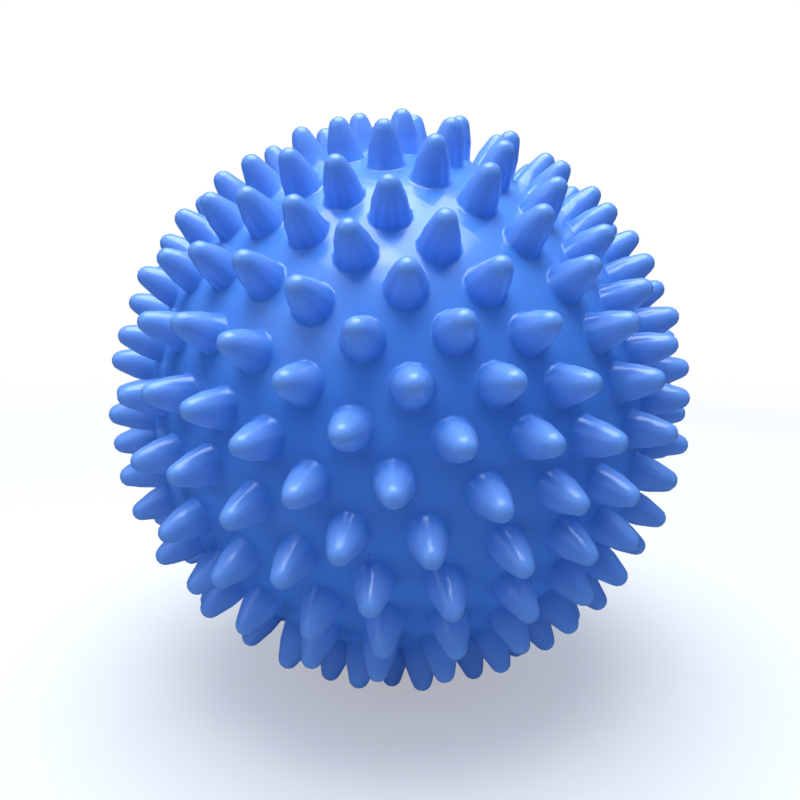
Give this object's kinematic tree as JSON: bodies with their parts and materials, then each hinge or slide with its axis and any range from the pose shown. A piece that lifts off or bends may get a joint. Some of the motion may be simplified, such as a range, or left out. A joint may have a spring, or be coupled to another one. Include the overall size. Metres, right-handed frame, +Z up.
{
  "type": "massage ball",
  "caption": "Hollow soft vinyl ball covered in blunt conical spikes, with a push-in air valve plug that pulls out.",
  "frame": {"origin": "centre of the ball", "axes": "+Z up as the ball lies; +X to the right and +Y away when it is seen from the front; the valve points to the right, back and up"},
  "size_m": [0.0896, 0.0896, 0.0897],
  "materials": {
    "blue_vinyl": "soft satin-gloss moulded vinyl, cornflower blue",
    "seat_rubber": "matte soft rubber, darker blue",
    "plug_vinyl": "satin moulded vinyl, blue"
  },
  "bodies": {
    "ball": {"spiked_shell": "blue_vinyl", "valve_seat": "seat_rubber"},
    "plug": {"valve_plug": "plug_vinyl"}
  },
  "joints": [
    {"name": "plug_pull", "type": "slide", "parent": "ball", "child": "plug", "axis": [0.6222, 0.631, 0.4633], "range_m": [0, 0.009]}
  ]
}
